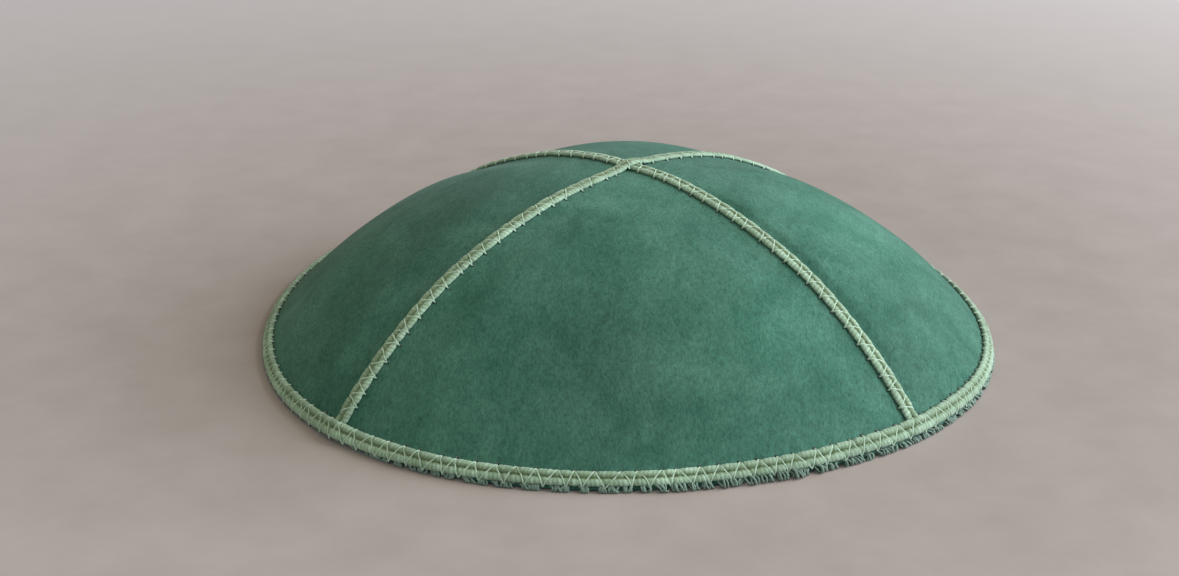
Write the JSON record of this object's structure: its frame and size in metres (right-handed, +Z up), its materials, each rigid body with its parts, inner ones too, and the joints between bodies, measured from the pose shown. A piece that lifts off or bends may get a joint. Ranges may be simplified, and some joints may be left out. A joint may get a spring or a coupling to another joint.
{
  "type": "kippah skullcap",
  "caption": "Soft four-panel suede skullcap, a shallow dome with flat braid over its crossed seams and round its rim, lying on its rim.",
  "frame": {"origin": "middle of the footprint, on the plane that the rim lies on", "axes": "+Z up through the crown, -Y towards the front panel, +X to the right of someone facing the front panel"},
  "size_m": [0.1818, 0.176, 0.0428],
  "materials": {
    "suede": "napped green suede, matt",
    "braid": "flat sage-green braid and thread, matt with a slight sheen"
  },
  "bodies": {
    "root": {"panel_front": "suede", "panel_right": "suede", "panel_back": "suede", "panel_left": "suede", "seam_braid_long": "braid", "seam_braid_front_right": "braid", "seam_braid_back_left": "braid", "rim_braid": "braid"}
  },
  "joints": []
}
